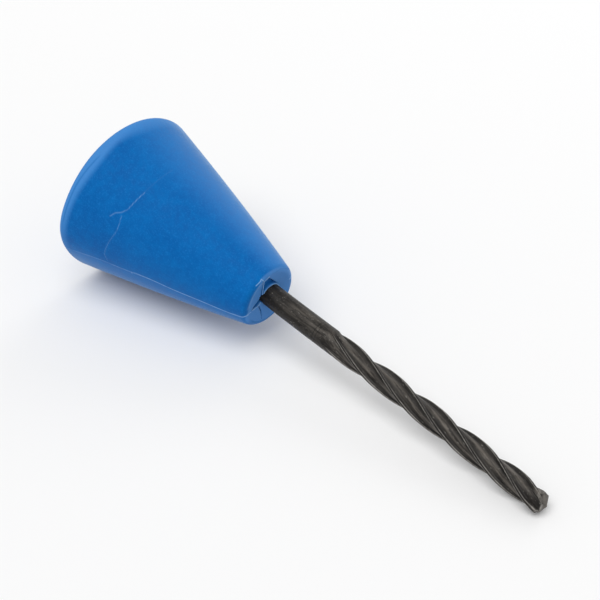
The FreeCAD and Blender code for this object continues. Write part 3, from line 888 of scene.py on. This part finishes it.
def blue_rubber(cone):
    """Matt moulded rubber: uneven dusty blue with painted sheen and painted shade, fine grain, pale
    stretched edges partly with a painted highlight, and scratches.
    """
    material, tree, shader = new_material("Blue Rubber")
    place = object_place(tree)
    clouds = noise(tree, place, 48.0, 3.0, 0.5)
    mottle = noise(tree, place, 420.0, 4.0, 0.6)
    grain = noise(tree, place, 1700.0, 3.0, 0.65)
    dust = combine(tree, "ADD", spread(tree, clouds, 0.3, 0.72, 0.0, 0.5),
                   spread(tree, mottle, 0.35, 0.7, 0.0, 0.5))
    colour = tint(tree, tuple(cone.blue), tuple(cone.dusty_blue), dust)
    colour = tint(tree, colour, GRAIN_BLUE, spread(tree, grain, 0.48, 0.7, 0.0, 0.4))
    # dust, with a painted sheen on the far side and painted light below the parting line
    colour = tint_field(tree, colour, DUST_AND_PAINTED_LIGHT_BLUE, "dust_and_painted_light", 0.6)
    colour = tint_field(tree, colour, FACE_BLUE, "face", 0.75)
    # painted shade in the cuts, the groove, the underside and the bore
    colour = tint_field(tree, colour, PAINTED_SHADE_BLUE, "painted_shade", 0.85)
    # pale torn edges and marks, partly a painted highlight
    broken = combine(tree, "MULTIPLY", field(tree, "pale"),
                     spread(tree, mottle, 0.25, 0.6, 0.55, 1.0))
    colour = tint(tree, colour, tuple(cone.torn_and_highlight_blue), broken)
    tree.links.new(colour, shader.inputs["Base Color"])
    tree.links.new(spread(tree, mottle, 0.3, 0.7, 0.52, 0.66), shader.inputs["Roughness"])
    shader.inputs["Specular IOR Level"].default_value = 0.06
    shader.inputs["Sheen Weight"].default_value = 0.46
    shader.inputs["Sheen Roughness"].default_value = 0.32
    shader.inputs["Sheen Tint"].default_value = SHEEN_BLUE
    bumps = combine(tree, "ADD", combine(tree, "MULTIPLY", grain, 0.5), mottle)
    add_bump(tree, shader, bumps, 0.28, 0.12 * MM)
    return material


def black_oxide(bit):
    """Black oxide on steel: brown-black, streaked along the flutes, worn bare on the edges with a
    painted glint, and with painted highlights along the flutes and on the shank.
    """
    material, tree, shader = new_material("Black Oxide Steel")
    along = field(tree, "untwisted", "Vector")
    streaks = noise(tree, along, 900.0, 4.0, 0.6, (1.0, 1.0, 0.12))
    mottle = noise(tree, object_place(tree), 700.0, 5.0, 0.65)
    specks = noise(tree, along, 1900.0, 2.0, 0.5, (1.0, 1.0, 0.45))
    colour = tint(tree, tuple(bit.oxide), STREAK_BROWN, spread(tree, streaks, 0.35, 0.75))
    colour = tint(tree, colour, MOTTLE_BROWN, spread(tree, mottle, 0.52, 0.72, 0.0, 0.5))
    # painted highlight along the flutes' middles and the shank's upper side, and rubbed paler near
    # the tip
    streaked = combine(tree, "MULTIPLY", field(tree, "rubbed_and_highlight"),
                       spread(tree, streaks, 0.38, 0.62, 0.15, 1.0))
    colour = tint(tree, colour, RUBBED_AND_HIGHLIGHT_BROWN, streaked)
    colour = tint(tree, colour, SPECK_GREY, spread(tree, specks, 0.64, 0.72, 0.0, 0.6))
    colour = tint_field(tree, colour, LAND_BLACK, "land", 0.8)
    colour = tint(tree, colour, RING_BLACK, field(tree, "ring"))
    # bare edges, partly a painted glint
    edge = combine(tree, "MULTIPLY", field(tree, "worn"), spread(tree, mottle, 0.3, 0.6, 0.4, 1.0))
    colour = tint(tree, colour, tuple(bit.bare_steel), edge)
    tree.links.new(colour, shader.inputs["Base Color"])
    tree.links.new(spread(tree, mottle, 0.3, 0.7, 0.32, 0.5), shader.inputs["Roughness"])
    shader.inputs["Metallic"].default_value = 0.15
    shader.inputs["Specular IOR Level"].default_value = 0.13
    add_bump(tree, shader, combine(tree, "ADD", streaks, mottle), 0.35, 0.06 * MM)
    return material


def seen_rays(tree):
    """1 for camera, mirror and glass rays, and 0 for the rays that carry light."""
    rays = tree.nodes.new("ShaderNodeLightPath").outputs
    seen = combine(tree, "MAXIMUM", rays["Is Camera Ray"], rays["Is Glossy Ray"])
    return combine(tree, "MAXIMUM", seen, rays["Is Transmission Ray"])


def floor_paint(tone):
    """Pale floor that takes the shadow, and is seen a little lifted, to white."""
    material, tree, shader = new_material("Pale Floor")
    shader.inputs["Base Color"].default_value = (*tone, 1.0)
    shader.inputs["Roughness"].default_value = 1.0
    shader.inputs["Specular IOR Level"].default_value = 0.0
    shader.inputs["Emission Color"].default_value = WHITE
    lift = combine(tree, "MULTIPLY", seen_rays(tree), FLOOR_LIFT)
    tree.links.new(lift, shader.inputs["Emission Strength"])
    return material


# Studio

# half the side of the floor, in metres
FLOOR_REACH = 4.0
# how strong the white world is as light
WORLD_LIGHT = 0.52
# strength or power and place of the two lamps, in metres, and where they point
SUN_STRENGTH = 1.7
SUN_SPREAD = math.radians(52.0)
SUN_PLACE = (0.1, -0.42, 1.07)
DISC_POWER = 2.2
DISC_SIZE = 0.8
DISC_PLACE = (-0.3, 1.2, 0.8)
LAMP_TARGET = (0.0, 0.0, 0.02)
# the camera's direction, and the cone's mouth, in millimetres: its place, and how far it lies to
# the right of the camera's axis, below it, and ahead
CAMERA_AZIMUTH = math.radians(-44.96)
CAMERA_ELEVATION = math.radians(37.22)
MOUTH_PLACE = (-21.361, 2.584, 20.920)
MOUTH_SEEN = (-9.4373, -2.3325, 550.5455)
SENSOR_WIDTH = 36.0


def add_floor(scene, tone):
    """A square floor at height 0, round the middle of the tool."""
    reach = FLOOR_REACH
    mesh = bpy.data.meshes.new("floor")
    mesh.from_pydata([(-reach, -reach, 0), (reach, -reach, 0), (reach, reach, 0),
                      (-reach, reach, 0)], [], [(0, 1, 2, 3)])
    mesh.materials.append(floor_paint(tone))
    floor = bpy.data.objects.new("floor", mesh)
    scene.collection.objects.link(floor)


def add_world(scene):
    """White surroundings at full strength where they are seen, and weaker as light."""
    world = bpy.data.worlds.new("studio_air")
    world.use_nodes = True
    tree = world.node_tree
    background = tree.nodes["Background"]
    rest = combine(tree, "MULTIPLY", seen_rays(tree), 1.0 - WORLD_LIGHT)
    tree.links.new(combine(tree, "ADD", rest, WORLD_LIGHT), background.inputs["Strength"])
    background.inputs["Color"].default_value = WHITE
    scene.world = world


def add_lamp(scene, light, power, place):
    """Lamp at the place, turned to the target."""
    light.energy = power
    lamp = bpy.data.objects.new(light.name, light)
    lamp.location = place
    lamp.rotation_mode = "QUATERNION"
    ahead = Vector(LAMP_TARGET) - lamp.location
    lamp.rotation_quaternion = ahead.to_track_quat("-Z", "Y")
    scene.collection.objects.link(lamp)


def place_camera(scene, lens):
    """Camera at the photograph's angle, from the near right and above.

    Its place is the mouth's less right * across + down * below + ahead * distance.
    """
    azimuth, elevation = CAMERA_AZIMUTH, CAMERA_ELEVATION
    ahead = -np.array([math.cos(elevation) * math.cos(azimuth),
                       math.cos(elevation) * math.sin(azimuth), math.sin(elevation)])
    right = np.array([-math.sin(azimuth), math.cos(azimuth), 0.0])
    down = np.cross(ahead, right)
    turn = np.column_stack([right, -down, -ahead])
    position = np.array(MOUTH_PLACE) - np.array(MOUTH_SEEN) @ np.array([right, down, ahead])
    data = bpy.data.cameras.new("camera")
    data.lens = lens
    data.sensor_width = SENSOR_WIDTH
    data.clip_start, data.clip_end = 0.01, 20.0
    camera = bpy.data.objects.new("camera", data)
    camera.matrix_world = (Matrix.Translation(Vector(position * MM))
                           @ Matrix(turn.tolist()).to_4x4())
    scene.collection.objects.link(camera)
    scene.camera = camera


# Operators

class REAMER_OT_add_cone(bpy.types.Operator):
    """Build the moulded cone with its torn mouth in place of the plain one"""
    bl_idname = "reamer.add_cone"
    bl_label = "Moulded Cone"

    def execute(self, context):
        cone, bit = context.scene.reamer_cone, context.scene.reamer_bit
        pose = cone_pose(cone.length / MM, *bit_pose(bit.length / MM, bit.radius / MM))
        grid, bottom, fields = cone_surface(cone)
        mesh = tube_mesh("cone_moulding", grid, (0.0, 0.0, 0.0), bottom, pose, fields,
                         math.radians(50))
        add_piece("cone_moulding", mesh, "cone_handle", blue_rubber(cone))
        return {"FINISHED"}


class REAMER_OT_add_bit(bpy.types.Operator):
    """Build the fluted bit with its worn black finish in place of the plain one"""
    bl_idname = "reamer.add_bit"
    bl_label = "Fluted Bit"

    def execute(self, context):
        bit = context.scene.reamer_bit
        pose = bit_pose(bit.length / MM, bit.radius / MM)
        grid, fields = bit_surface(bit)
        mesh = tube_mesh("bit_dressed", grid, (0.0, 0.0, 0.0), (0.0, 0.0, bit.length / MM), pose,
                         fields, math.radians(28))
        add_piece("bit_dressed", mesh, "fluted_bit", black_oxide(bit))
        return {"FINISHED"}


class REAMER_OT_set_stage(bpy.types.Operator):
    """Add the floor, the lamps, the world and the camera"""
    bl_idname = "reamer.set_stage"
    bl_label = "Studio"

    def execute(self, context):
        scene, studio = context.scene, context.scene.reamer_studio
        add_floor(scene, studio.floor_tone)
        add_world(scene)
        # a wide far light that is as strong all over the floor, and a disc behind the part
        sun = bpy.data.lights.new("top_light", "SUN")
        sun.angle = SUN_SPREAD
        add_lamp(scene, sun, SUN_STRENGTH, SUN_PLACE)
        disc = bpy.data.lights.new("back_lamp", "AREA")
        disc.shape = "DISK"
        disc.size = DISC_SIZE
        add_lamp(scene, disc, DISC_POWER, DISC_PLACE)
        place_camera(scene, studio.lens)
        scene.view_settings.view_transform = "Standard"
        return {"FINISHED"}


class REAMER_PT_pieces(bpy.types.Panel):
    """Lists the settings and the button of each piece and of the studio"""
    bl_label = "Hand Reamer"
    bl_space_type = "VIEW_3D"
    bl_region_type = "UI"
    bl_category = "Reamer"

    def draw(self, context):
        layout = self.layout
        for settings, operator in ((context.scene.reamer_cone, REAMER_OT_add_cone),
                                   (context.scene.reamer_bit, REAMER_OT_add_bit),
                                   (context.scene.reamer_studio, REAMER_OT_set_stage)):
            box = layout.box()
            for label in settings.__annotations__:
                box.prop(settings, label)
            box.operator(operator.bl_idname)


SETTINGS = {"reamer_cone": ConeSettings, "reamer_bit": BitSettings, "reamer_studio": StudioSettings}
OPERATORS = (REAMER_OT_add_cone, REAMER_OT_add_bit, REAMER_OT_set_stage)


def register():
    for settings in SETTINGS.values():
        bpy.utils.register_class(settings)
    for label, settings in SETTINGS.items():
        setattr(bpy.types.Scene, label, bpy.props.PointerProperty(type=settings))
    for operator in OPERATORS:
        bpy.utils.register_class(operator)
    bpy.utils.register_class(REAMER_PT_pieces)


def unregister():
    bpy.utils.unregister_class(REAMER_PT_pieces)
    for operator in reversed(OPERATORS):
        bpy.utils.unregister_class(operator)
    for label in SETTINGS:
        delattr(bpy.types.Scene, label)
    for settings in reversed(SETTINGS.values()):
        bpy.utils.unregister_class(settings)


def main():
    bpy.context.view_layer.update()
    register()
    bpy.ops.reamer.add_cone()
    bpy.ops.reamer.add_bit()
    bpy.ops.reamer.set_stage()


if __name__ == "__main__":
    main()
